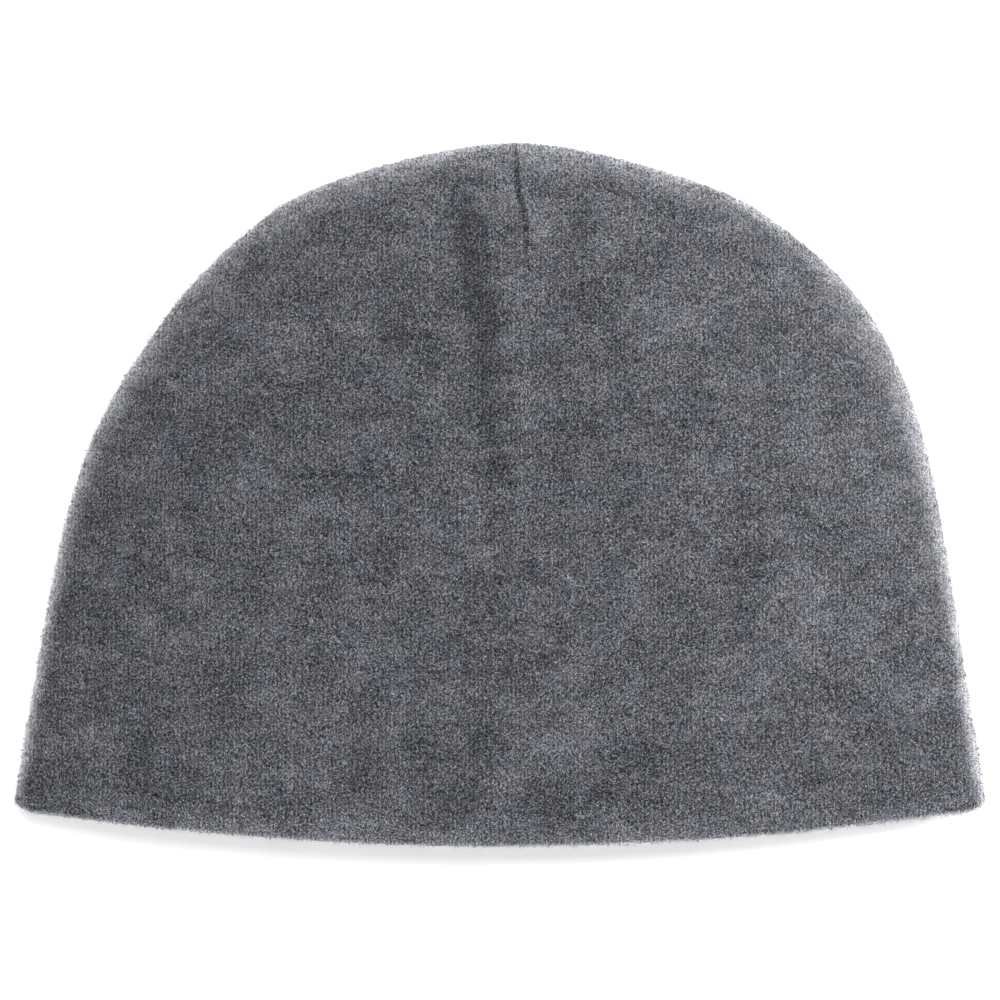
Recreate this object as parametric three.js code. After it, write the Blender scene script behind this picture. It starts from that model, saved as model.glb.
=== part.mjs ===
// A brushed wool-knit beanie, lying on its back with the front up, as it is laid out flat.
// Millimetres. +X runs to the right across the front, +Y from the hem to the crown, +Z up.
// The cloth rests on z = 0, and the origin is under the middle of the whole hat.
import * as THREE from 'three';

// Driving dimensions
const hemWidth = 256;
const hatHeight = 185;
const wall = 1.8;
const hemDepth = 25;
const hemSlit = 0.35;
const hemDrop = 10.8;
const hemStand = 0.4;
const hemRoll = 2.6;
const hemRollReach = 8;
const foldHollow = 1.05;
const seamGap = 0.3;
const crownLean = 5.4;
const mouthRise = 8.5;
const crownRise = 17;
const dartLength = 84;
const dartAllowance = 2.5;
const dartSeamWidth = 1;
const dartSeamSlope = 8;

// Fineness of the cloth's grid, and the step that slopes are measured over
const crownRows = 20;
const hemArcSteps = 5;
const foldSteps = 5;
const outlineSteps = 180;
const slopeStep = 0.1;

// Worked out from the driving dimensions
const halfHem = hemWidth / 2;
const hemThickness = 2 * wall + hemSlit;
const hemFoldRadius = hemThickness / 2;
const foldRadius = hemThickness + foldHollow;
const hemRollSlope = ((2 * hemRoll) / hemRollReach) * (1 - hemFoldRadius / hemRollReach);
const hemTuck = (hemFoldRadius * hemRollSlope) / Math.hypot(1, hemRollSlope);

// Powers of the curves: the hem's sag and its roll, the puff across the front, and the spacing of the rows
const hemSagPower = 1.9;
const hemRollPower = 4;
const puffAcrossPower = 3;
const rowPower = 1.9;

// The puff is full this share of the way up, and closes to the crown this many times over the darts' length
const puffFullAt = 0.5;
const crownClosing = 1.8;

// The fold gets rounder towards the crown, by this share of its radius between two shares of the height
const foldRounding = 0.75;
const roundingFrom = 0.3;
const roundingTo = 0.85;

// The right shoulder is rounder still: by how much, and where, as a share of the hat's height
const shoulderRounding = { share: 1.1, up: 0.76, spread: 0.11 };

// Each side tapers towards the crown and turns over as a superellipse.
// taper: loss of half width for each unit of height. shoulder, turn: the superellipse's powers.
const sides = {
  left: { sign: -1, taper: 0.127, shoulder: 4.6, turn: 1.71 },
  right: { sign: 1, taper: 0.18, shoulder: 6.25, turn: 1.48 },
};

// Swells and hollows of the outline. up, spread: shares of the hat's height. out: share of half the hem.
const outlineSwells = [
  { side: 'left', up: 0.93, spread: 0.045, out: 0.044 },
  { side: 'left', up: 0.742, spread: 0.135, out: -0.024 },
  { side: 'right', up: 0.925, spread: 0.035, out: 0.03 },
];

// The front dart, from the crown to past its tip. The cloth stands up in a band over the sewn-in allowance.
// down: share of the dart's length. left, right, seam: places of the band's edges and of the sewn line, right
// of the crown's lean. rise, fall: breadths of the band's left and right flanks. All five are shares of half
// the hem. height, depth: of the band and of the sewn line, as shares of the wall.
const frontDart = [
  { down: 0, left: -0.14, right: 0.04, rise: 0.03, fall: 0.035, height: 0.2, seam: -0.013, depth: 0.2 },
  { down: 0.13, left: -0.126, right: 0.05, rise: 0.03, fall: 0.035, height: 1, seam: -0.003, depth: 0.45 },
  { down: 0.27, left: -0.103, right: 0.048, rise: 0.03, fall: 0.033, height: 2, seam: 0.014, depth: 0.35 },
  { down: 0.4, left: -0.085, right: 0.06, rise: 0.03, fall: 0.055, height: 2, seam: 0.016, depth: 0.15 },
  { down: 0.6, left: -0.058, right: 0.025, rise: 0.024, fall: 0.036, height: 1.7, seam: 0.01, depth: 0.08 },
  { down: 0.8, left: -0.05, right: 0.027, rise: 0.024, fall: 0.045, height: 1.3, seam: 0.006, depth: 0.03 },
  { down: 1, left: -0.038, right: 0.03, rise: 0.022, fall: 0.035, height: 0.8, seam: 0.002, depth: 0 },
  { down: 1.15, left: -0.034, right: 0.03, rise: 0.022, fall: 0.035, height: 0, seam: 0, depth: 0 },
];

// The back's sewn line is this much shallower
const backSeamShare = 0.5;

// The sewn edge that rolls onto the front at the right shoulder, as a low rib inside the outline.
// down: share of the dart's length along the outline. inset, width: shares of the fold's radius.
// rib: height as a share of the wall.
const shoulderRib = [
  { down: 0.45, inset: 0.2, rib: 0, width: 0.2 },
  { down: 0.65, inset: 0.3, rib: 0.3, width: 0.25 },
  { down: 0.85, inset: 0.6, rib: 0.45, width: 0.3 },
  { down: 1, inset: 0.8, rib: 0.25, width: 0.35 },
  { down: 1.1, inset: 0.9, rib: 0, width: 0.35 },
];

// Columns of cloth from the dart to the fold, as shares of the flat width between them
const columnShares = [0.02, 0.045, 0.075, 0.11, 0.15, 0.2, 0.26, 0.34, 0.44, 0.55, 0.67, 0.79, 0.9, 1];

// Rows of cloth up the turned hem and just past its end, as shares of its depth
const hemRowShares = [0.16, 0.3, 0.6, 0.88, 1, 1.16];
const hemTopRow = hemRowShares.indexOf(1) + 1;

// The hem's step fades over this share of its depth. The round fold takes at most this share of a row.
const hemFade = 0.3;
const foldShareOfRow = 0.5;

// The dart's inner seam allowance tapers off over these shares of the dart's length, at its top and tip
const allowanceTop = 0.1;
const allowanceTip = 0.2;

// The same grey heather wool for both panels
const woolColour = 0x64656a;
const woolRoughness = 0.96;

function clamp(value, low, high) {
  return Math.min(high, Math.max(low, value));
}

function ease(value) {
  const x = clamp(value, 0, 1);
  return x * x * (3 - 2 * x);
}

function bell(distance, width) {
  return Math.exp(-((distance / width) ** 2));
}

// A column of a table between its rows, which are placed by their share of the way down
function fromTable(table, column, down) {
  const place = clamp(down, table[0].down, table[table.length - 1].down);
  const next = Math.max(1, table.findIndex((row) => row.down >= place));
  const before = table[next - 1];
  const after = table[next];
  const share = ease((place - before.down) / (after.down - before.down));
  return before[column] + (after[column] - before[column]) * share;
}

// How far up the outline a height lies, from the hem's corners to the crown
function riseAt(height) {
  return clamp((height - hemDrop) / (hatHeight - hemDrop), 0, 1);
}

// The fold at one side of the hat, seen from above, at a height above the hem's lowest point
function sideLine(side, height) {
  const rise = riseAt(height);
  const dome = (1 - rise ** side.shoulder) ** (1 / side.turn);
  const hemSwell = hemStand * ease((hemDrop + hemDepth - height) / (hemFade * hemDepth));
  let half = halfHem - hemStand - side.taper * (height - hemDrop);
  for (const swell of outlineSwells) {
    const nearness = bell(height / hatHeight - swell.up, swell.spread);
    if (sides[swell.side] === side) half += swell.out * halfHem * nearness;
  }
  return crownLean * rise + side.sign * (half * dome + hemSwell);
}

// A line of the front dart, seen from above, at a height above the hem's lowest point
function leanTo(line, height) {
  const down = (hatHeight - height) / dartLength;
  return crownLean * riseAt(height) + halfHem * fromTable(frontDart, line, down);
}

// The line of columns that runs down the middle of the hat, along the dart
function middleLine(height) {
  return leanTo('seam', height);
}

// How far in from the outline the cloth turns over, at a height above the hem's lowest point
function foldReach(side, height) {
  const up = height / hatHeight;
  const rounding = foldRounding * ease((up - roundingFrom) / (roundingTo - roundingFrom));
  const { share, up: middle, spread } = shoulderRounding;
  const shoulder = side === sides.right ? share * bell(up - middle, spread) : 0;
  return foldRadius * (1 + rounding + shoulder);
}

// The sewn line's notch, from 0 to 1: steep on its right, gentle on its left
function seamNotch(x, y) {
  const off = x - middleLine(y);
  return bell(off, off > 0 ? dartSeamWidth : dartSeamSlope);
}

// The hem's lower edge at a share of half the width
function hemLine(share) {
  return hemDrop * Math.abs(share) ** hemSagPower;
}

// One side of the outline from just below the hem's corner to the crown, with its length from the crown
function outlineOf(side) {
  const points = [];
  for (let step = -2; step <= outlineSteps; step++) {
    const share = 1 - (1 - step / outlineSteps) ** 2;
    const height = hemDrop + share * (hatHeight - hemDrop);
    points.push({ x: sideLine(side, height), y: height, length: 0 });
  }
  for (let index = points.length - 2; index >= 0; index--) {
    const here = points[index];
    const above = points[index + 1];
    here.length = above.length + Math.hypot(here.x - above.x, here.y - above.y);
  }
  return points;
}

const outlines = [
  { side: sides.left, points: outlineOf(sides.left) },
  { side: sides.right, points: outlineOf(sides.right) },
];

// The nearest place on the outline: how far in the point lies, the way inwards, and the length to the crown
function nearestFold(x, y) {
  let best = { distance: Infinity };
  for (const { side, points } of outlines) {
    for (let index = 0; index + 1 < points.length; index++) {
      const start = points[index];
      const end = points[index + 1];
      const runX = end.x - start.x;
      const runY = end.y - start.y;
      const run = Math.hypot(runX, runY);
      const share = clamp(((x - start.x) * runX + (y - start.y) * runY) / run ** 2, 0, 1);
      const distance = Math.hypot(x - start.x - share * runX, y - start.y - share * runY);
      if (distance < best.distance) {
        const length = start.length + (end.length - start.length) * share;
        const inX = (-side.sign * runY) / run;
        const inY = (side.sign * runX) / run;
        best = { distance, length, side, inX, inY };
      }
    }
  }
  return best;
}

// Height that the puff of the front adds over the flat hat
function frontPuff(x, y) {
  const left = sideLine(sides.left, y);
  const right = sideLine(sides.right, y);
  const across = clamp((2 * x - left - right) / Math.max(right - left, slopeStep), -1, 1);
  const up = clamp((y - hemLine(across)) / (hatHeight - hemLine(across)), 0, 1);
  const fullness = mouthRise + (crownRise - mouthRise) * ease(up / puffFullAt);
  const closing = 1 - Math.exp((-crownClosing * (hatHeight - y)) / dartLength);
  return fullness * (1 - Math.abs(across) ** puffAcrossPower) * closing;
}

// The turned hem stands a little proud of the single cloth above it. Its edge rolls down, less at the sides.
function hemRelief(x, y) {
  const above = y - hemLine(x / halfHem);
  const step = hemStand * ease((hemDepth - above) / (hemFade * hemDepth));
  const roll = clamp(1 - above / hemRollReach, 0, 1) ** 2;
  return step - hemRoll * roll * (1 - Math.min(Math.abs(x / halfHem), 1) ** hemRollPower);
}

// The band and the sewn line of the front dart
function dartRelief(x, y) {
  const down = (hatHeight - y) / dartLength;
  const row = (column) => fromTable(frontDart, column, down);
  const leftFlank = Math.tanh((x - leanTo('left', y)) / (halfHem * row('rise')));
  const rightFlank = Math.tanh((x - leanTo('right', y)) / (halfHem * row('fall')));
  const band = (row('height') * (leftFlank - rightFlank)) / 2;
  return wall * (band - row('depth') * seamNotch(x, y));
}

// The rolled edge at the right shoulder
function shoulderRelief(fold) {
  if (fold.side !== sides.right) return 0;
  const down = fold.length / dartLength;
  const row = (column) => fromTable(shoulderRib, column, down);
  return wall * row('rib') * bell(fold.distance / foldRadius - row('inset'), row('width'));
}

function frontLift(x, y, fold) {
  return frontPuff(x, y) + hemRelief(x, y) + dartRelief(x, y) + shoulderRelief(fold);
}

// The back lies flat, marked only by its own dart's sewn line
function backLift(x, y) {
  const down = (hatHeight - y) / dartLength;
  const depth = wall * backSeamShare * fromTable(frontDart, 'depth', down);
  return -depth * seamNotch(x, y);
}

// Outer face of a panel above a point of the plan, measured from its seam: height and outward normal
function outerFace(panel, x, y, onEdge) {
  const fold = nearestFold(x, y);
  const reach = foldReach(fold.side, y);
  const level = 1 - (onEdge ? 0 : Math.min(fold.distance, reach)) / reach;
  const upright = Math.sqrt(1 - level ** 2);
  const lift = panel.lift(x, y, fold);
  const slopeX = (panel.lift(x + slopeStep, y, fold) - lift) / slopeStep;
  const slopeY = (panel.lift(x, y + slopeStep, fold) - lift) / slopeStep;
  const turned = (level * (foldRadius + lift)) / reach;
  const normal = new THREE.Vector3(
    -fold.inX * turned - slopeX * upright * upright,
    -fold.inY * turned - slopeY * upright * upright,
    upright,
  ).normalize();
  return { normal, height: upright * (foldRadius + lift) };
}

// Where a column crosses a row of the plan, spaced to follow the round fold near the outline
function columnPlace(column, y) {
  const side = column < 0 ? sides.left : sides.right;
  const edge = sideLine(side, y);
  const middle = middleLine(y);
  const width = Math.abs(edge - middle);
  const lean = (sideLine(side, y + slopeStep) - edge) / slopeStep;
  const steps = Math.abs(column);
  const foldWidth = Math.min(foldReach(side, y) * Math.hypot(1, lean), width * foldShareOfRow);
  if (steps <= columnShares.length) {
    const share = steps === 0 ? 0 : columnShares[steps - 1];
    return middle + side.sign * share * (width - foldWidth);
  }
  const turn = ((steps - columnShares.length) / foldSteps) * (Math.PI / 2);
  return edge - side.sign * foldWidth * (1 - Math.sin(turn));
}

// Heights of the rows above the hem's edge, for a column that starts at a share of the half width
function rowHeights(panel, hemShare) {
  const start = hemLine(hemShare);
  const tuck = panel.tuck * (1 - Math.abs(hemShare) ** hemRollPower);
  const heights = [start + hemFoldRadius - tuck];
  for (const share of hemRowShares) heights.push(start + share * hemDepth);
  const top = heights[heights.length - 1];
  for (let row = 1; row < crownRows; row++) {
    heights.push(top + (hatHeight - top) * (1 - (1 - row / crownRows) ** rowPower));
  }
  return heights;
}

// The outer face's points and normals up one column, from the hem's fold to below the crown
function columnFace(panel, column) {
  const onEdge = Math.abs(column) === columnShares.length + foldSteps;
  const hemShare = columnPlace(column, hemDrop) / halfHem;
  return rowHeights(panel, hemShare).map((y) => {
    const x = columnPlace(column, y);
    const face = outerFace(panel, x, y, onEdge);
    const point = new THREE.Vector3(x, y, face.height);
    return { point, normal: face.normal, inside: wall + allowanceDepth(x, y) };
  });
}

// Extra depth of the cloth that is sewn together behind the dart
function allowanceDepth(x, y) {
  const down = (hatHeight - y) / dartLength;
  const reach = ease((1 - down) / allowanceTip) * ease(down / allowanceTop);
  return dartAllowance * reach * bell(x - middleLine(y), dartSeamWidth);
}

// The closed line round the cloth in one column: up the outside and back inside, with the turned hem
function clothSection(panel, column) {
  const face = columnFace(panel, column);
  const below = (row, depth) => face[row].point.clone().addScaledVector(face[row].normal, -depth);
  const line = [];
  for (let row = face.length - 1; row >= 0; row--) line.push(below(row, 0));
  const hem = face[0];
  const down = hem.point.clone().sub(face[1].point);
  down.addScaledVector(hem.normal, -down.dot(hem.normal)).normalize();
  for (let step = 1; step < hemArcSteps; step++) {
    const turn = (Math.PI * step) / hemArcSteps;
    const point = below(0, hemFoldRadius * (1 - Math.cos(turn)));
    line.push(point.addScaledVector(down, hemFoldRadius * Math.sin(turn)));
  }
  for (let row = 0; row <= hemTopRow; row++) line.push(below(row, hemThickness));
  line.push(below(hemTopRow, hemThickness - wall / 2).addScaledVector(down, -wall / 4));
  for (let row = hemTopRow; row >= 0; row--) line.push(below(row, wall + hemSlit));
  line.push(below(0, wall + hemSlit / 2).addScaledVector(down, hemSlit / 2));
  for (let row = 0; row < face.length; row++) line.push(below(row, face[row].inside));
  return line;
}

// The flat seam edge at one side of a panel: the outline of its last section, closed through the crown
function seamEdge(positions, ring) {
  const flat = ring.map((point) => new THREE.Vector2(positions[3 * point], positions[3 * point + 1]));
  return THREE.ShapeUtils.triangulateShape(flat, []).map((corners) => {
    const clockwise = THREE.ShapeUtils.area(corners.map((corner) => flat[corner])) < 0;
    const face = corners.map((corner) => ring[corner]);
    return clockwise ? face : face.reverse();
  });
}

// One panel of cloth: sections joined from side to side, closed by flat seam edges and by the crown's point
function panelGeometry(panel) {
  const lastColumn = columnShares.length + foldSteps;
  const sections = [];
  for (let column = -lastColumn; column <= lastColumn; column++) sections.push(clothSection(panel, column));
  const around = sections[0].length;
  const crownOutside = sections.length * around;
  const crownInside = crownOutside + 1;
  const crown = [hatHeight, hatHeight - wall].map((height) => new THREE.Vector3(crownLean, height, 0));
  const points = [...sections.flat(), ...crown];
  const positions = points.flatMap((point) => [point.x, point.y, panel.seamHeight + panel.up * point.z]);
  const faces = [];
  for (let left = 0; left + around < crownOutside; left += around) {
    const right = left + around;
    for (let step = 0; step + 1 < around; step++) {
      faces.push([left + step, left + step + 1, right + step + 1]);
      faces.push([left + step, right + step + 1, right + step]);
    }
    faces.push([left, right, crownOutside]);
    faces.push([left + around - 1, crownInside, right + around - 1]);
  }
  for (const first of [0, crownOutside - around]) {
    const ring = Array.from({ length: around }, (unused, step) => first + step);
    faces.push(...seamEdge(positions, [...ring, crownInside, crownOutside]));
  }
  const geometry = new THREE.BufferGeometry();
  geometry.setAttribute('position', new THREE.Float32BufferAttribute(positions, 3));
  geometry.setIndex(faces.flatMap(([a, b, c]) => (panel.up > 0 ? [a, b, c] : [a, c, b])));
  geometry.computeVertexNormals();
  return geometry;
}

function woolMaterial() {
  return new THREE.MeshStandardMaterial({ color: woolColour, roughness: woolRoughness, metalness: 0 });
}

function makePanel(name, panel) {
  const mesh = new THREE.Mesh(panelGeometry(panel), woolMaterial());
  mesh.name = name;
  return mesh;
}

// The back's outer face rests on the floor, and the front's edge lies the seam's gap above the back's
const backPanel = { up: -1, seamHeight: foldRadius, lift: backLift, tuck: 0 };
const frontPanel = { up: 1, seamHeight: foldRadius + seamGap, lift: frontLift, tuck: hemTuck };

const beanie = new THREE.Group();
beanie.position.y = -hatHeight / 2;
beanie.add(makePanel('front_panel', frontPanel));
beanie.add(makePanel('back_panel', backPanel));

export default beanie;
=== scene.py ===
# A grey heather wool beanie that lies flat on a pale floor, front up, seen from straight above.
# Metres. +X runs to the right across the front, +Y from the hem to the crown, +Z up.
import math

import bpy
import numpy as np
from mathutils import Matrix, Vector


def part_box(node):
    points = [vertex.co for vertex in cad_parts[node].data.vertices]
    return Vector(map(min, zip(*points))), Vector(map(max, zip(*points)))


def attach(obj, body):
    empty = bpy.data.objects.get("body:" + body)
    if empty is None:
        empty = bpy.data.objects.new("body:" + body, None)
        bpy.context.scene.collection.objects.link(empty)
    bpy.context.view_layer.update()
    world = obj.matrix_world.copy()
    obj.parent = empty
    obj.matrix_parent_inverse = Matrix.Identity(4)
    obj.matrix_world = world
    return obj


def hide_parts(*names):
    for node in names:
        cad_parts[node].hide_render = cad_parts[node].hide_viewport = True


# Sizes of the hat
HEM_WIDTH = 0.256
HAT_HEIGHT = 0.185
WALL = 0.0018
HEM_DEPTH = 0.025
HEM_SLIT = 0.00035
HEM_DROP = 0.0108
HEM_STAND = 0.0004
HEM_ROLL = 0.0026
HEM_ROLL_REACH = 0.008
FOLD_HOLLOW = 0.00105
CROWN_LEAN = 0.0054
MOUTH_RISE = 0.0085
CROWN_RISE = 0.017
DART_LENGTH = 0.084
DART_SEAM_WIDTH = 0.0006
DART_SEAM_SLOPE = 0.008

HALF_HEM = HEM_WIDTH / 2
HEM_THICKNESS = 2 * WALL + HEM_SLIT
HEM_FOLD_RADIUS = HEM_THICKNESS / 2
FOLD_RADIUS = HEM_THICKNESS + FOLD_HOLLOW
SEAM_GAP = 0.0003
HEM_ROLL_SLOPE = 2 * HEM_ROLL / HEM_ROLL_REACH * (1 - HEM_FOLD_RADIUS / HEM_ROLL_REACH)
HEM_TUCK = HEM_FOLD_RADIUS * HEM_ROLL_SLOPE / math.hypot(1, HEM_ROLL_SLOPE)

# Powers and shares of the curves
HEM_SAG_POWER = 1.9
PUFF_ACROSS_POWER = 3.0
PUFF_FULL_AT = 0.5
CROWN_CLOSING = 1.8
FOLD_ROUNDING = 0.75
ROUNDING_FROM = 0.3
ROUNDING_TO = 0.85
SHOULDER_ROUNDING = 1.1
SHOULDER_UP = 0.76
SHOULDER_SPREAD = 0.11
HEM_FADE = 0.3
HEM_ROLL_POWER = 4
BACK_SEAM_SHARE = 0.5

# Each side's taper and the powers of its superellipse
SIDES = {
    -1: {"taper": 0.127, "shoulder": 4.6, "turn": 1.71},
    1: {"taper": 0.18, "shoulder": 6.25, "turn": 1.48},
}

# Swells and hollows of the outline: shares of the height, and of half the hem
OUTLINE_SWELLS = [
    {"side": -1, "up": 0.93, "spread": 0.045, "out": 0.044},
    {"side": -1, "up": 0.742, "spread": 0.135, "out": -0.024},
    {"side": 1, "up": 0.925, "spread": 0.035, "out": 0.03},
]

# The front dart, from the crown to past its tip, in shares of its length. The cloth stands up in a band
# over the sewn-in allowance: the band's left and right edges and its seam from the crown's lean, and the
# breadths of its two flanks, in shares of half the hem. Its height and the seam's depth are shares of the
# wall. The last two columns are painted shade: how much darker the tone is along the left flank and in the
# seam, where shade falls.
FRONT_DART = {
    "down": [0, 0.13, 0.27, 0.4, 0.6, 0.8, 1, 1.15],
    "left": [-0.14, -0.126, -0.103, -0.085, -0.058, -0.05, -0.038, -0.034],
    "right": [0.04, 0.05, 0.048, 0.06, 0.025, 0.027, 0.03, 0.03],
    "height": [0.2, 1, 2, 2, 1.7, 1.3, 0.8, 0],
    "steep": [0.03, 0.03, 0.03, 0.03, 0.024, 0.024, 0.022, 0.022],
    "gentle": [0.035, 0.035, 0.033, 0.055, 0.036, 0.045, 0.035, 0.035],
    "seam": [-0.013, -0.003, 0.014, 0.016, 0.01, 0.006, 0.002, 0],
    "depth": [0.2, 0.45, 0.35, 0.15, 0.08, 0.03, 0, 0],
    "dart_painted_shade": [0, 0.02, 0.1, 0.1, 0.09, 0.085, 0.1, 0.05],
    "seam_painted_shade": [0.1, 0.27, 0.17, 0.04, 0, 0, 0, 0],
}
# Breadth of the painted shade along the dart's left flank
FLANK_PAINTED_SHADE_WIDTH = 0.0043

# The sewn edge that rolls onto the front at the right shoulder
SHOULDER_RIB = {
    "down": [0.45, 0.65, 0.85, 1, 1.1],
    "inset": [0.2, 0.3, 0.6, 0.8, 0.9],
    "rib": [0, 0.3, 0.45, 0.25, 0],
    "width": [0.2, 0.25, 0.3, 0.35, 0.35],
}

# Soft lumps of the cloth as it lies: how far apart, and how high
LUMPS = [
    {"apart": 0.034, "high": 0.0009, "seed": 11},
    {"apart": 0.015, "high": 0.00025, "seed": 12},
    {"apart": 0.006, "high": 0.0001, "seed": 13},
]
LUMP_COUNT = 64

# The brushed fibres: short tapered strands that stand up on the front, in degrees, and lie almost flat below
# the back. Over a fold they are longer and stand up more. They swirl over a small distance, and stray.
FRONT_FIBRE_PIECES = 3
FIBRES_PER_PIECE = 49000
STRAND_LENGTH = (0.00045, 0.001)
STRAND_THICKNESS = (0.00013, 0.00023)
FIBRE_TONE_SPREAD = 0.9
FRONT_STRAND_LIFT = (5, 65)
BACK_STRAND_LIFT = (0, 7)
STRAND_SWIRL = 0.0032
SWIRL_TURN = 1.3
STRAND_STRAY = 0.6
RIM_STRAND_GROWTH = 0.6
RIM_STRAND_LIFT = 18

# Fineness of the cloth's mesh. The hem's rows go on a little past its depth.
FLAT_COLUMNS = 90
FOLD_COLUMNS = 10
HEM_ROWS = 20
HEM_ROWS_REACH = 1.16
CROWN_ROWS = 120
CROWN_ROW_POWER = 1.5
INNER_ROW_STEP = 5
HEM_ARC_STEPS = 10
OUTLINE_STEPS = 700
STEPS_BELOW_OUTLINE = 8
PLACES_AT_ONCE = 4000
SLOPE_STEP = 0.0001

# The photograph's frame: pixels on a side, the hem's width in them, the hem's lowest point, and a camera
# far enough off to see the hat without much perspective
IMAGE_SIDE = 1000
HEM_PIXELS = 972
HEM_LOW_PIXEL = 845
PIXEL = HEM_WIDTH / HEM_PIXELS
CAMERA_DISTANCE = 1.5
SENSOR_WIDTH = 36


def ease(value):
    x = np.clip(value, 0, 1)
    return x * x * (3 - 2 * x)


def bell(distance, width):
    return np.exp(-((distance / width) ** 2))


def from_table(table, column, down):
    """A column of a table between its rows, eased from row to row."""
    rows = np.array(table["down"], float)
    values = np.array(table[column], float)
    place = np.clip(down, rows[0], rows[-1])
    after = np.clip(np.searchsorted(rows, place), 1, len(rows) - 1)
    share = ease((place - rows[after - 1]) / (rows[after] - rows[after - 1]))
    return values[after - 1] + (values[after] - values[after - 1]) * share


def rise_at(y):
    return np.clip((y - HEM_DROP) / (HAT_HEIGHT - HEM_DROP), 0, 1)


def side_line(side, y):
    """The fold at one side, seen from above, at a height above the hem's lowest point."""
    form = SIDES[side]
    rise = rise_at(y)
    dome = np.clip(1 - rise ** form["shoulder"], 0, 1) ** (1 / form["turn"])
    half = HALF_HEM - HEM_STAND - form["taper"] * (y - HEM_DROP)
    for swell in OUTLINE_SWELLS:
        if swell["side"] == side:
            half = half + swell["out"] * HALF_HEM * bell(y / HAT_HEIGHT - swell["up"], swell["spread"])
    hem_swell = HEM_STAND * ease((HEM_DROP + HEM_DEPTH - y) / (HEM_FADE * HEM_DEPTH))
    return CROWN_LEAN * rise + side * (half * dome + hem_swell)


def lean_to(line, y):
    down = (HAT_HEIGHT - y) / DART_LENGTH
    return CROWN_LEAN * rise_at(y) + HALF_HEM * from_table(FRONT_DART, line, down)


def middle_line(y):
    return lean_to("seam", y)


def seam_notch(x, y):
    """The sewn line's notch: steep on its right, gentle on its left."""
    off = x - middle_line(y)
    return bell(off, np.where(off > 0, DART_SEAM_WIDTH, DART_SEAM_SLOPE))


def hem_line(share):
    return HEM_DROP * np.abs(share) ** HEM_SAG_POWER


def lumps(x, y, apart, seed):
    """Smooth random heights from -1 to 1, with a new height every so far apart."""
    heights = np.random.default_rng(seed).uniform(-1, 1, (LUMP_COUNT, LUMP_COUNT))
    across, up = x / apart, y / apart
    column, row = np.floor(across).astype(int), np.floor(up).astype(int)
    right, above = ease(across - column), ease(up - row)
    column, row = column % LUMP_COUNT, row % LUMP_COUNT
    next_column, next_row = (column + 1) % LUMP_COUNT, (row + 1) % LUMP_COUNT
    low = heights[row, column] * (1 - right) + heights[row, next_column] * right
    high = heights[next_row, column] * (1 - right) + heights[next_row, next_column] * right
    return low * (1 - above) + high * above


def cloth_lumps(x, y):
    total = 0
    for lump in LUMPS:
        total = total + lump["high"] * lumps(x, y, lump["apart"], lump["seed"])
    return total


class Outline:
    """The hat's outline, for how far in a point lies and how far along from the crown."""

    def __init__(self):
        points, inward, length, sides = [], [], [], []
        step = np.arange(-STEPS_BELOW_OUTLINE, OUTLINE_STEPS + 1)
        y = HEM_DROP + (1 - (1 - step / OUTLINE_STEPS) ** 2) * (HAT_HEIGHT - HEM_DROP)
        for side in (-1, 1):
            line = np.stack([side_line(side, y), y], 1)
            run = np.diff(line, axis=0)
            reach = np.hypot(run[:, 0], run[:, 1])
            middle = (line[1:] + line[:-1]) / 2
            way_in = np.stack([-side * run[:, 1], side * run[:, 0]], 1) / reach[:, None]
            points.append(middle)
            inward.append(way_in)
            length.append(np.cumsum(reach[::-1])[::-1] - reach / 2)
            sides.append(np.full(len(reach), side))
        self.points = np.concatenate(points)
        self.inward = np.concatenate(inward)
        self.length = np.concatenate(length)
        self.sides = np.concatenate(sides)

    def nearest(self, x, y):
        """(distance in, way in, length from the crown, side) of each point."""
        flat = np.stack([x.ravel(), y.ravel()], 1)
        best = np.empty(len(flat), int)
        for start in range(0, len(flat), PLACES_AT_ONCE):
            part = slice(start, start + PLACES_AT_ONCE)
            gap = flat[part, None, :] - self.points[None]
            best[part] = np.argmin(gap[..., 0] ** 2 + gap[..., 1] ** 2, 1)
        away = np.sum((flat - self.points[best]) * self.inward[best], 1)
        shape = x.shape
        return (
            np.maximum(away, 0).reshape(shape),
            self.inward[best].reshape(shape + (2,)),
            self.length[best].reshape(shape),
            self.sides[best].reshape(shape),
        )


def fold_reach(y, side):
    """How far in from the outline the cloth turns over: wider to the crown, most at the right shoulder."""
    share = (y / HAT_HEIGHT - ROUNDING_FROM) / (ROUNDING_TO - ROUNDING_FROM)
    shoulder = np.where(side > 0, SHOULDER_ROUNDING * bell(y / HAT_HEIGHT - SHOULDER_UP, SHOULDER_SPREAD), 0)
    return FOLD_RADIUS * (1 + FOLD_ROUNDING * ease(share) + shoulder)


def front_puff(x, y):
    left, right = side_line(-1, y), side_line(1, y)
    across = np.clip((2 * x - left - right) / np.maximum(right - left, SLOPE_STEP), -1, 1)
    up = np.clip((y - hem_line(across)) / (HAT_HEIGHT - hem_line(across)), 0, 1)
    fullness = MOUTH_RISE + (CROWN_RISE - MOUTH_RISE) * ease(up / PUFF_FULL_AT)
    closing = 1 - np.exp(-CROWN_CLOSING * (HAT_HEIGHT - y) / DART_LENGTH)
    return fullness * (1 - np.abs(across) ** PUFF_ACROSS_POWER) * closing


def hem_relief(x, y):
    above = y - hem_line(x / HALF_HEM)
    step = HEM_STAND * ease((HEM_DEPTH - above) / (HEM_FADE * HEM_DEPTH))
    fade = 1 - np.clip(np.abs(x / HALF_HEM), 0, 1) ** HEM_ROLL_POWER
    roll = np.clip(1 - above / HEM_ROLL_REACH, 0, 1) ** 2 * fade
    return step - HEM_ROLL * roll


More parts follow.
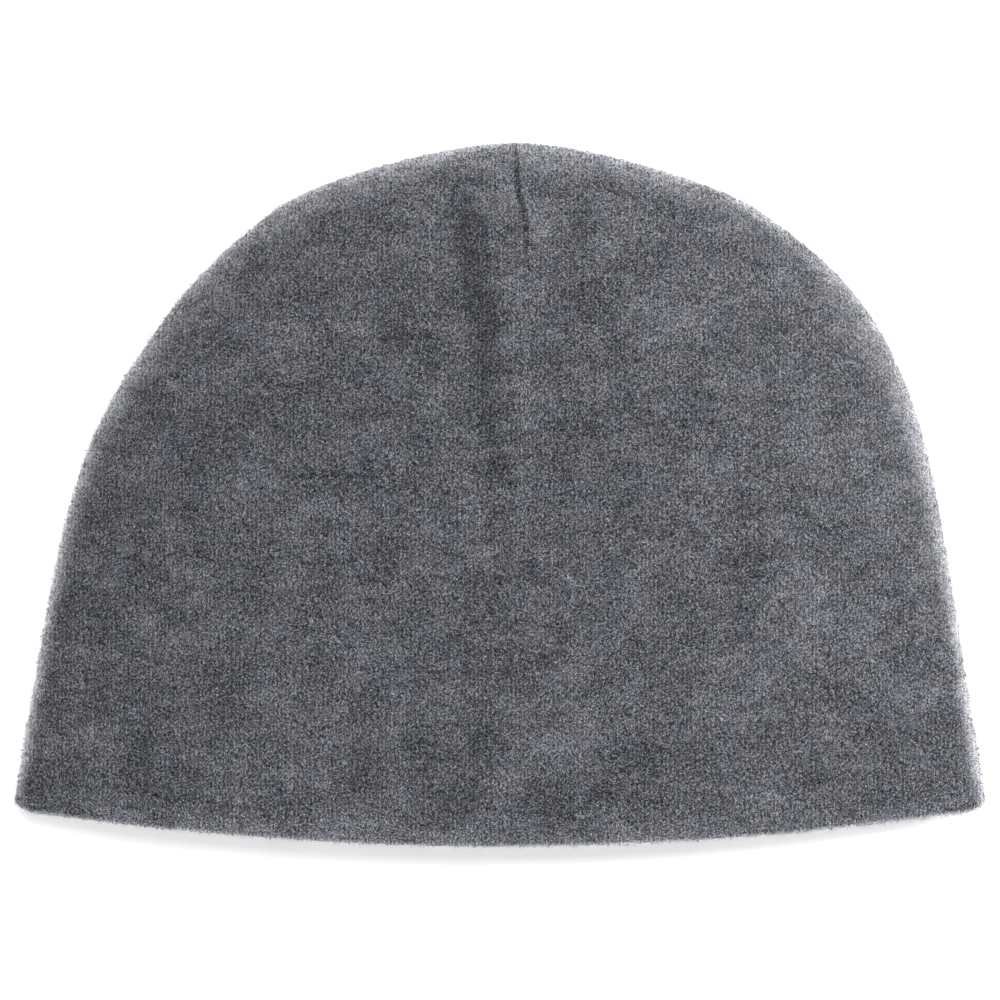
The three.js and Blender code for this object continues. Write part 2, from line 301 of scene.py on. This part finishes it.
def dart_relief(x, y):
    down = (HAT_HEIGHT - y) / DART_LENGTH
    steep = HALF_HEM * from_table(FRONT_DART, "steep", down)
    gentle = HALF_HEM * from_table(FRONT_DART, "gentle", down)
    rise = np.tanh((x - lean_to("left", y)) / steep)
    fall = np.tanh((x - lean_to("right", y)) / gentle)
    seam = from_table(FRONT_DART, "depth", down) * seam_notch(x, y)
    return WALL * (from_table(FRONT_DART, "height", down) * (rise - fall) / 2 - seam)


def shoulder_relief(fold):
    distance, _, length, side = fold
    down = length / DART_LENGTH
    inset = from_table(SHOULDER_RIB, "inset", down)
    width = from_table(SHOULDER_RIB, "width", down)
    rib = from_table(SHOULDER_RIB, "rib", down) * bell(distance / FOLD_RADIUS - inset, width)
    return np.where(side > 0, WALL * rib, 0)


def front_lift(x, y, fold):
    relief = hem_relief(x, y) + dart_relief(x, y) + shoulder_relief(fold)
    return front_puff(x, y) + relief + cloth_lumps(x, y)


def back_lift(x, y, fold):
    down = (HAT_HEIGHT - y) / DART_LENGTH
    depth = WALL * BACK_SEAM_SHARE * from_table(FRONT_DART, "depth", down)
    return -depth * seam_notch(x, y)


def front_painted_shade(x, y):
    """Painted shade on the front: how much darker the tone is along the dart's left flank and in its seam."""
    down = (HAT_HEIGHT - y) / DART_LENGTH
    flank = from_table(FRONT_DART, "dart_painted_shade", down) * bell(x - lean_to("left", y), FLANK_PAINTED_SHADE_WIDTH)
    return flank + from_table(FRONT_DART, "seam_painted_shade", down) * bell(x - middle_line(y), DART_SEAM_WIDTH)


# Painted shade on the back: a darker tone in the dart's seam, as on the front.
def back_painted_shade(x, y):
    down = (HAT_HEIGHT - y) / DART_LENGTH
    return from_table(FRONT_DART, "seam_painted_shade", down) * bell(x - middle_line(y), DART_SEAM_WIDTH)


def outer_face(lift, outline, x, y):
    """Points and outward normals of a panel's outer face above the plan, measured from its seam."""
    fold = outline.nearest(x, y)
    distance, inward = fold[0].copy(), fold[1]
    distance[:, 0] = 0
    distance[:, -1] = 0
    reach = fold_reach(y, fold[3])
    level = 1 - np.minimum(distance, reach) / reach
    upright = np.sqrt(1 - level ** 2)
    height = lift(x, y, fold)
    slope_x = (lift(x + SLOPE_STEP, y, fold) - height) / SLOPE_STEP
    slope_y = (lift(x, y + SLOPE_STEP, fold) - height) / SLOPE_STEP
    normal = np.stack([
        -inward[..., 0] * level * (FOLD_RADIUS + height) / reach - slope_x * upright ** 2,
        -inward[..., 1] * level * (FOLD_RADIUS + height) / reach - slope_y * upright ** 2,
        upright,
    ], -1)
    normal /= np.linalg.norm(normal, axis=-1, keepdims=True)
    return np.stack([x, y, upright * (FOLD_RADIUS + height)], -1), normal


def plan_grid(tuck=0):
    """Plan places of the cloth's mesh: rows from the hem to the crown, columns from left to right."""
    last = FLAT_COLUMNS + FOLD_COLUMNS
    columns = np.arange(-last, last + 1)
    shares = np.where(columns == 0, 0, columns / last)
    start = hem_line(shares) + HEM_FOLD_RADIUS - tuck * (1 - np.abs(shares) ** HEM_ROLL_POWER)
    hem = np.linspace(0, HEM_ROWS_REACH, HEM_ROWS)[:, None] * HEM_DEPTH + start[None, :]
    steps = np.arange(1, CROWN_ROWS)[:, None] / CROWN_ROWS
    crown = hem[-1] + (HAT_HEIGHT - hem[-1]) * (1 - (1 - steps) ** CROWN_ROW_POWER)
    y = np.concatenate([hem, crown])
    side = np.where(columns < 0, -1, 1)
    x = np.empty_like(y)
    for one in (-1, 1):
        part = side == one
        rows = y[:, part]
        edge = side_line(one, rows)
        middle = middle_line(rows)
        width = np.abs(edge - middle)
        lean = (side_line(one, rows + SLOPE_STEP) - edge) / SLOPE_STEP
        fold_width = np.minimum(fold_reach(rows, one) * np.hypot(1, lean), 0.5 * width)
        steps = np.abs(columns[part])
        flat = middle + one * np.minimum(steps / FLAT_COLUMNS, 1) * (width - fold_width)
        turn = np.clip((steps - FLAT_COLUMNS) / FOLD_COLUMNS, 0, 1) * math.pi / 2
        x[:, part] = np.where(steps <= FLAT_COLUMNS, flat, edge - one * fold_width * (1 - np.sin(turn)))
    return x, y


def cloth_layers(lift, tuck, outline):
    """The closed line round the cloth in each column: down the outside, then back up inside."""
    x, y = plan_grid(tuck)
    points, normals = outer_face(lift, outline, x, y)
    hem_top = int(np.argmin(np.abs(y[:, FLAT_COLUMNS] - y[0, FLAT_COLUMNS] - HEM_DEPTH)))
    inner_hem = list(range(0, hem_top, INNER_ROW_STEP)) + [hem_top]
    inner_main = sorted(set(list(range(0, len(points), INNER_ROW_STEP)) + [len(points) - 1]))
    down = points[0] - points[1]
    down -= np.sum(down * normals[0], -1, keepdims=True) * normals[0]
    down /= np.linalg.norm(down, axis=-1, keepdims=True)
    layers = [points[::-1]]
    for step in range(1, HEM_ARC_STEPS):
        turn = math.pi * step / HEM_ARC_STEPS
        inside = points[0] - normals[0] * HEM_FOLD_RADIUS * (1 - math.cos(turn))
        layers.append((inside + down * HEM_FOLD_RADIUS * math.sin(turn))[None])
    layers.append(points[inner_hem] - normals[inner_hem] * HEM_THICKNESS)
    edge = points[hem_top] - normals[hem_top] * (HEM_THICKNESS - WALL / 2)
    layers.append((edge - down * WALL / 4)[None])
    layers.append((points[inner_hem] - normals[inner_hem] * (WALL + HEM_SLIT))[::-1])
    layers.append((points[0] - normals[0] * (WALL + HEM_SLIT / 2) + down * HEM_SLIT / 2)[None])
    layers.append(points[inner_main] - normals[inner_main] * WALL)
    return np.concatenate(layers), len(points) + HEM_ARC_STEPS - 1


def to_frame(points, up, hem_y):
    """From the panel's own measures to the row frame."""
    placed = points.copy()
    placed[..., 1] += hem_y
    placed[..., 2] = FOLD_RADIUS + up * points[..., 2]
    return placed


def make_mesh(name, vertices, quads, triangles=()):
    mesh = bpy.data.meshes.new(name)
    corners = np.concatenate([np.asarray(quads, np.int32).ravel(), np.asarray(triangles, np.int32).ravel()])
    sizes = np.concatenate([np.full(len(quads), 4), np.full(len(triangles), 3)]).astype(np.int32)
    mesh.vertices.add(len(vertices))
    mesh.vertices.foreach_set("co", np.asarray(vertices, np.float32).ravel())
    mesh.loops.add(len(corners))
    mesh.loops.foreach_set("vertex_index", corners)
    mesh.polygons.add(len(sizes))
    mesh.polygons.foreach_set("loop_start", np.concatenate([[0], np.cumsum(sizes)[:-1]]).astype(np.int32))
    mesh.polygons.foreach_set("loop_total", sizes)
    mesh.update(calc_edges=True)
    mesh.validate()
    mesh.polygons.foreach_set("use_smooth", np.ones(len(mesh.polygons), bool))
    made = bpy.data.objects.new(name, mesh)
    bpy.context.scene.collection.objects.link(made)
    return made


def set_floats(mesh, name, values):
    """A number for each vertex, which the material reads."""
    layer = mesh.attributes.new(name, "FLOAT", "POINT")
    layer.data.foreach_set("value", np.asarray(values, np.float32))


def make_panel(name, node, up, lift, painted_darkening, tuck, outline, material, hem_y):
    """One panel of cloth as a closed mesh, in place of its CAD node."""
    layers, outer_rows = cloth_layers(lift, tuck, outline)
    around, across = layers.shape[:2]
    crown = np.array([[CROWN_LEAN, HAT_HEIGHT, 0], [CROWN_LEAN, HAT_HEIGHT - WALL, 0]])
    vertices = np.concatenate([layers.reshape(-1, 3), crown])
    outside, inside = around * across, around * across + 1
    step, column = np.meshgrid(np.arange(around - 1), np.arange(across - 1), indexing="ij")
    here = (step * across + column).ravel()
    quads = np.stack([here, here + across, here + across + 1, here + 1], 1)
    first = np.arange(across - 1)
    last = (around - 1) * across + first
    caps = [np.stack([first, first + 1, np.full(len(first), outside)], 1)]
    caps.append(np.stack([last, np.full(len(last), inside), last + 1], 1))
    triangles = np.concatenate(caps)
    if up < 0:
        quads = quads[:, ::-1]
        triangles = triangles[:, ::-1]
    panel = make_mesh(name, to_frame(vertices, up, hem_y), quads, triangles)
    # Painted shade along the dart's left flank and in its seam, which the material takes off the tone
    set_floats(panel.data, "dart_painted_shade", painted_darkening(vertices[:, 0], vertices[:, 1]))
    upright = [abs(vertex.normal.z) for vertex in panel.data.vertices]
    set_floats(panel.data, "open", 1 - np.array(upright))
    panel.data.materials.append(material)
    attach(panel, "root")
    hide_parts(node)
    return to_frame(layers[:outer_rows], up, hem_y)


def unit(vectors):
    return vectors / np.maximum(np.linalg.norm(vectors, axis=-1, keepdims=True), 1e-12)


def make_fibres(name, face, up, lifts, painted_darkening, seed, material, hem_y):
    """Fibres spread evenly over a face of the cloth, each a closed strand that tapers to a tip."""
    draw = np.random.default_rng(seed)
    corner, below, right = face[:-1, :-1], face[1:, :-1], face[:-1, 1:]
    normal = np.cross(right - corner, corner - below)
    area = np.linalg.norm(normal, axis=-1).ravel()
    cell = np.searchsorted(np.cumsum(area) / area.sum(), draw.random(FIBRES_PER_PIECE))
    cell = np.minimum(cell, area.size - 1)
    down_share = draw.random(FIBRES_PER_PIECE)[:, None]
    right_share = draw.random(FIBRES_PER_PIECE)[:, None]
    start = corner.reshape(-1, 3)[cell]
    root = start + (below.reshape(-1, 3)[cell] - start) * down_share
    root = root + (right.reshape(-1, 3)[cell] - start) * right_share
    out = unit(normal.reshape(-1, 3)[cell]) * up
    to_crown = unit(np.cross(np.cross(out, [0, 1, 0.001]), out))
    to_side = np.cross(to_crown, out)
    swirl = lumps(root[:, 0], root[:, 1] + root[:, 2], STRAND_SWIRL, seed) * SWIRL_TURN
    turn = swirl + draw.normal(0, STRAND_STRAY, FIBRES_PER_PIECE)
    turn = turn + np.pi * draw.integers(0, 2, FIBRES_PER_PIECE)
    rim = 1 - np.abs(out[:, 2])
    lift = np.radians(draw.uniform(*lifts, FIBRES_PER_PIECE) + RIM_STRAND_LIFT * rim)
    flat = to_crown * np.cos(turn)[:, None] + to_side * np.sin(turn)[:, None]
    along = flat * np.cos(lift)[:, None] + out * np.sin(lift)[:, None]
    length = (draw.uniform(*STRAND_LENGTH, FIBRES_PER_PIECE) * (1 + RIM_STRAND_GROWTH * rim))[:, None]
    radius = draw.uniform(*STRAND_THICKNESS, FIBRES_PER_PIECE)[:, None] / 2
    wide = unit(np.cross(along, out))
    tall = np.cross(wide, along)
    # Each fibre's tone at random, less the painted shade along the dart's left flank and in its seam
    tone = draw.normal(0, FIBRE_TONE_SPREAD, FIBRES_PER_PIECE) - painted_darkening(root[:, 0], root[:, 1] - hem_y)
    root = root - out * radius
    corners = [root + tall * radius]
    for way in (-1, 1):
        corners.append(root + (wide * way * math.sqrt(3) / 2 - tall / 2) * radius)
    corners.append(root + along * length)
    vertices = np.stack(corners, 1).reshape(-1, 3)
    first = np.arange(FIBRES_PER_PIECE)[:, None] * 4
    strand = np.array([[0, 1, 2], [0, 3, 1], [1, 3, 2], [2, 3, 0]])
    triangles = (first[:, None] + strand[None]).reshape(-1, 3)
    fibres = make_mesh(name, vertices, np.empty((0, 4), int), triangles)
    shade = np.stack([out + tall, *(out + wide * way for way in (-1, 1)), out], 1)
    fibres.data.normals_split_custom_set_from_vertices(unit(shade).reshape(-1, 3))
    set_floats(fibres.data, "tone", np.repeat(tone, 4))
    set_floats(fibres.data, "open", np.repeat(rim, 4))
    fibres.data.materials.append(material)
    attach(fibres, "root")


class Nodes:
    """Short names for building the nodes of a material or of the world."""

    def __init__(self, owner):
        owner.use_nodes = True
        self.owner = owner
        self.tree = owner.node_tree
        self.shader = self.tree.nodes.get("Principled BSDF")

    def link(self, source, target):
        self.tree.links.new(source, target)

    def put(self, node, socket, value):
        if isinstance(value, bpy.types.NodeSocket):
            self.link(value, node.inputs[socket])
        else:
            node.inputs[socket].default_value = value

    def place(self):
        return self.tree.nodes.new("ShaderNodeTexCoord").outputs["Object"]

    def attribute(self, name):
        node = self.tree.nodes.new("ShaderNodeAttribute")
        node.attribute_name = name
        return node.outputs["Fac"]

    def split(self, vector):
        node = self.tree.nodes.new("ShaderNodeSeparateXYZ")
        self.link(vector, node.inputs[0])
        return node.outputs

    def mapping(self, vector, scale, turn=0):
        node = self.tree.nodes.new("ShaderNodeMapping")
        node.vector_type = "TEXTURE"
        self.link(vector, node.inputs["Vector"])
        node.inputs["Rotation"].default_value = (0, 0, turn)
        node.inputs["Scale"].default_value = scale
        return node.outputs["Vector"]

    def noise(self, vector, detail=0, roughness=0.5, distortion=0):
        node = self.tree.nodes.new("ShaderNodeTexNoise")
        self.link(vector, node.inputs["Vector"])
        node.inputs["Scale"].default_value = 1
        node.inputs["Detail"].default_value = detail
        node.inputs["Roughness"].default_value = roughness
        node.inputs["Distortion"].default_value = distortion
        return node.outputs["Fac"]

    def math(self, operation, first, second=0.0, third=0.0):
        node = self.tree.nodes.new("ShaderNodeMath")
        node.operation = operation
        for socket, value in enumerate((first, second, third)):
            self.put(node, socket, value)
        return node.outputs["Value"]

    def ramp(self, value, stops):
        node = self.tree.nodes.new("ShaderNodeValToRGB")
        self.link(value, node.inputs["Fac"])
        ramp = node.color_ramp
        while len(ramp.elements) < len(stops):
            ramp.elements.new(0.5)
        for element, (place, colour) in zip(ramp.elements, stops):
            element.position = place
            element.color = (*colour, 1)
        return node.outputs["Color"]

    def mix(self, share, first, second, kind="MIX"):
        node = self.tree.nodes.new("ShaderNodeMix")
        node.data_type = "RGBA"
        node.blend_type = kind
        for socket, value in ((0, share), (6, first), (7, second)):
            self.put(node, socket, value if not isinstance(value, tuple) else (*value, 1))
        return node.outputs[2]


# Looks of the wool. Lengths in metres, and how strongly each size of light and dark shows.
FIBRE_TURNS = [0.2, 0.86, 1.48, 2.11, 2.76]
FIBRE_LENGTH = 0.0007
FIBRE_WIDTH = 0.00017
BLOTCH = 0.0016
BLOTCH_SHARE = 0.2
PATCH_LENGTH = 0.011
PATCH_HEIGHT = 0.003
PATCH_SHARE = 0.34
CLOUD = 0.012
CLOUD_SHARE = 0.4
HUE_PATCH = 0.009
WALE_SPACING = 0.00109
WALE_SHARE = 0.045

# The middle of the tone, from 0 for dark to 1 for light, and the strength of the finest light and dark
CLOTH_MIDDLE = 0.303
CLOTH_FINE_SHARE = 6.4
FIBRE_MIDDLE = 0.423
FIBRE_FINE_SHARE = 1.0
BUMP_STRENGTH = 0.9
BUMP_HEIGHT = 0.00035

# The sheen: how fast it grows as the cloth turns from view, how much of it the flat cloth has, how fast it
# opens over a fold, and how it follows the tone
SHEEN_GROWTH = 4.0
SHEEN_FLAT = 0.25
SHEEN_OPENING = 2.2
SHEEN_BY_TONE = 1.1
SHEEN_FROM_TONE = -0.02
SHEEN_ROUGHNESS = 0.45
SHEEN_TINT = (4.15, 4.19, 4.33, 1)

# Linear colours of the wool, from its darkest to its lightest fibres
WOOL_DARK = (0.0062, 0.0072, 0.0096)
WOOL_MIDDLE = (0.0946, 0.0974, 0.109)
WOOL_LIGHT = (0.402, 0.409, 0.44)


def heather_tone(n, place, fine, fine_share, middle):
    """The wool's colour: its fine light and dark, mottled along the courses, with bluish patches."""
    blotch = n.noise(n.mapping(place, (BLOTCH, BLOTCH, BLOTCH)), 1, 0.5)
    patch = n.noise(n.mapping(place, (PATCH_LENGTH, PATCH_HEIGHT, PATCH_HEIGHT)), 3, 0.55)
    tone = n.math("MULTIPLY_ADD", fine, fine_share, middle)
    tone = n.math("MULTIPLY_ADD", n.math("SUBTRACT", blotch, 0.5), BLOTCH_SHARE, tone)
    tone = n.math("MULTIPLY_ADD", n.math("SUBTRACT", patch, 0.5), PATCH_SHARE, tone)
    cloud = n.noise(n.mapping(place, (CLOUD, CLOUD, CLOUD)), 2, 0.5)
    tone = n.math("MULTIPLY_ADD", n.math("SUBTRACT", cloud, 0.5), CLOUD_SHARE, tone)
    across = n.split(n.mapping(place, (WALE_SPACING, 1, 1)))["X"]
    wales = n.math("SINE", n.math("MULTIPLY", across, 2 * math.pi))
    tone = n.math("MULTIPLY_ADD", wales, WALE_SHARE, tone)
    grey = n.ramp(tone, [(0.05, WOOL_DARK), (0.5, WOOL_MIDDLE), (0.95, WOOL_LIGHT)])
    hue = n.noise(n.mapping(place, (HUE_PATCH, HUE_PATCH, HUE_PATCH)), 3, 0.6)
    tint = n.ramp(hue, [(0.4, (1.0, 0.99, 0.98)), (0.65, (0.98, 0.99, 1.03))])
    n.link(n.mix(1.0, grey, tint, "MULTIPLY"), n.shader.inputs["Base Color"])
    return tone, blotch


def wool_finish(n, tone):
    """Matt wool that shines softly where it turns away, most over a fold, where the nap opens."""
    n.shader.inputs["Roughness"].default_value = 0.95
    n.shader.inputs["Specular IOR Level"].default_value = 0.1
    lean = n.tree.nodes.new("ShaderNodeLayerWeight").outputs["Facing"]
    growth = n.math("MINIMUM", n.math("MULTIPLY", lean, SHEEN_GROWTH), 1.0)
    light = n.math("MULTIPLY_ADD", tone, SHEEN_BY_TONE, SHEEN_FROM_TONE)
    light = n.math("MINIMUM", n.math("MAXIMUM", light, 0.0), 1.0)
    opening = n.math("MINIMUM", n.math("MULTIPLY_ADD", n.attribute("open"), SHEEN_OPENING, SHEEN_FLAT), 1.0)
    shine = n.math("MULTIPLY", growth, opening)
    n.put(n.shader, "Sheen Weight", n.math("MULTIPLY", shine, light))
    n.shader.inputs["Sheen Roughness"].default_value = SHEEN_ROUGHNESS
    n.shader.inputs["Sheen Tint"].default_value = SHEEN_TINT


def cloth_material():
    """Brushed wool below its loose fibres: matted strands every way, with faint wales."""
    n = Nodes(bpy.data.materials.new("heather_cloth"))
    place = n.place()
    fibres = []
    for turn in FIBRE_TURNS:
        stretched = n.mapping(place, (FIBRE_LENGTH, FIBRE_WIDTH, FIBRE_WIDTH), turn)
        fibres.append(n.noise(stretched, 1, 0.6, 0.4))
    high, low = fibres[0], fibres[0]
    for fibre in fibres[1:]:
        high = n.math("MAXIMUM", high, fibre)
        low = n.math("MINIMUM", low, fibre)
    hatch = n.math("MULTIPLY", n.math("ADD", high, low), 0.5)
    # The tone's middle, less the painted shade along the dart's left flank and in its seam
    middle = n.math("SUBTRACT", CLOTH_MIDDLE, n.attribute("dart_painted_shade"))
    tone, blotch = heather_tone(n, place, n.math("SUBTRACT", hatch, 0.5), CLOTH_FINE_SHARE, middle)
    bump = n.tree.nodes.new("ShaderNodeBump")
    bump.inputs["Strength"].default_value = BUMP_STRENGTH
    bump.inputs["Distance"].default_value = BUMP_HEIGHT
    n.link(n.math("MULTIPLY_ADD", blotch, 0.5, hatch), bump.inputs["Height"])
    n.link(bump.outputs["Normal"], n.shader.inputs["Normal"])
    wool_finish(n, tone)
    return n.owner


def fibre_material():
    """Loose fibres: each has its own tone between dark and light."""
    n = Nodes(bpy.data.materials.new("heather_fibres"))
    tone, _ = heather_tone(n, n.place(), n.attribute("tone"), FIBRE_FINE_SHARE, FIBRE_MIDDLE)
    wool_finish(n, tone)
    return n.owner


# The studio: a pale floor that glows a little, a surround that is brightest low down, before the hat most and
# behind it next, a soft key light from the right and a soft light above that stands a little behind
FLOOR_REACH = 3.0
FLOOR_COLOUR = (0.88, 0.88, 0.88, 1)
FLOOR_GLOW = 0.33
SURROUND_WALLS = 24
SURROUND_TOP = 0.17
SURROUND_FALL = 5
SURROUND_BALANCE = 0.2
KEY = {"azimuth": 105, "elevation": 27, "distance": 1.6, "size": 0.45, "power": 25.5}
OVERHEAD = {"azimuth": 180, "elevation": 75, "distance": 1.9, "size": 0.4, "power": 12.5}


def make_floor():
    signs = ((-1, -1), (1, -1), (1, 1), (-1, 1))
    corners = [(x * FLOOR_REACH, y * FLOOR_REACH, -SEAM_GAP) for x, y in signs]
    floor = make_mesh("floor", np.array(corners), np.array([[0, 1, 2, 3]]))
    n = Nodes(bpy.data.materials.new("floor_paint"))
    n.shader.inputs["Base Color"].default_value = FLOOR_COLOUR
    n.shader.inputs["Roughness"].default_value = 0.85
    n.shader.inputs["Specular IOR Level"].default_value = 0.1
    n.shader.inputs["Emission Color"].default_value = (1, 1, 1, 1)
    n.shader.inputs["Emission Strength"].default_value = FLOOR_GLOW
    floor.data.materials.append(n.owner)


def make_light(name, azimuth, elevation, distance, size, power):
    """A square soft light that faces the hat. Azimuth 0 is from the hem's side, 90 from the right."""
    light = bpy.data.lights.new(name, "AREA")
    light.shape = "SQUARE"
    light.size = size
    light.energy = power
    lamp = bpy.data.objects.new(name, light)
    turn, lift = math.radians(azimuth), math.radians(elevation)
    lamp.location = (
        distance * math.sin(turn) * math.cos(lift),
        -distance * math.cos(turn) * math.cos(lift),
        distance * math.sin(lift),
    )
    lamp.rotation_mode = "QUATERNION"
    lamp.rotation_quaternion = (-lamp.location).to_track_quat("-Z", "Y")
    bpy.context.scene.collection.objects.link(lamp)


def make_world():
    """A light tent, brighter at its walls than overhead, and most before and behind the hat."""
    world = bpy.data.worlds.new("studio")
    bpy.context.scene.world = world
    n = Nodes(world)
    way = n.split(n.tree.nodes.new("ShaderNodeTexCoord").outputs["Generated"])
    low = n.math("POWER", n.math("MAXIMUM", n.math("SUBTRACT", 1.0, way["Z"]), 0.0), SURROUND_FALL)
    balance = n.math("MULTIPLY_ADD", way["Y"], -SURROUND_BALANCE, 1.0)
    walls = n.math("MULTIPLY", n.math("MULTIPLY", way["Y"], way["Y"]), balance)
    strength = n.math("MULTIPLY_ADD", n.math("MULTIPLY", low, walls), SURROUND_WALLS, SURROUND_TOP)
    background = n.tree.nodes["Background"]
    n.put(background, "Color", (1, 1, 1, 1))
    n.put(background, "Strength", strength)


def make_camera(hem_y):
    """Straight above, framed as the photograph is: the fold's height is where its scale holds."""
    camera = bpy.data.cameras.new("camera")
    camera.sensor_width = SENSOR_WIDTH
    camera.lens = SENSOR_WIDTH * CAMERA_DISTANCE / (IMAGE_SIDE * PIXEL)
    camera.dof.use_dof = False
    eye = bpy.data.objects.new("camera", camera)
    eye.location = (0, hem_y + (HEM_LOW_PIXEL - IMAGE_SIDE / 2) * PIXEL, FOLD_RADIUS + CAMERA_DISTANCE)
    bpy.context.scene.collection.objects.link(eye)
    bpy.context.scene.camera = eye


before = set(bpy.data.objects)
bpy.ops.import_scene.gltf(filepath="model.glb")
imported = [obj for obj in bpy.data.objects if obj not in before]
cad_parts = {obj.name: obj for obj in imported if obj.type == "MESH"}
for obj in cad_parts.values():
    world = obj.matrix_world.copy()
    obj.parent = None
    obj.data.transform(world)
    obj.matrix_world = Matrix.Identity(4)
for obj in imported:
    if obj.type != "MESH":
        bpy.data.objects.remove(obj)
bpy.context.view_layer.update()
hem_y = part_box("front_panel")[1].y - HAT_HEIGHT

bpy.context.scene.view_settings.view_transform = "Standard"
make_camera(hem_y)
make_floor()
make_world()
make_light("key", **KEY)
make_light("overhead", **OVERHEAD)

outline = Outline()
cloth = cloth_material()
fibre = fibre_material()
front_face = make_panel(
    "front_cloth", "front_panel", 1, front_lift, front_painted_shade, HEM_TUCK, outline, cloth, hem_y
)
back_face = make_panel("back_cloth", "back_panel", -1, back_lift, back_painted_shade, 0, outline, cloth, hem_y)
for piece in range(FRONT_FIBRE_PIECES):
    name = f"front_fibres_{piece + 1}"
    make_fibres(name, front_face, 1, FRONT_STRAND_LIFT, front_painted_shade, 21 + piece, fibre, hem_y)
make_fibres("back_fibres", back_face, -1, BACK_STRAND_LIFT, back_painted_shade, 31, fibre, hem_y)
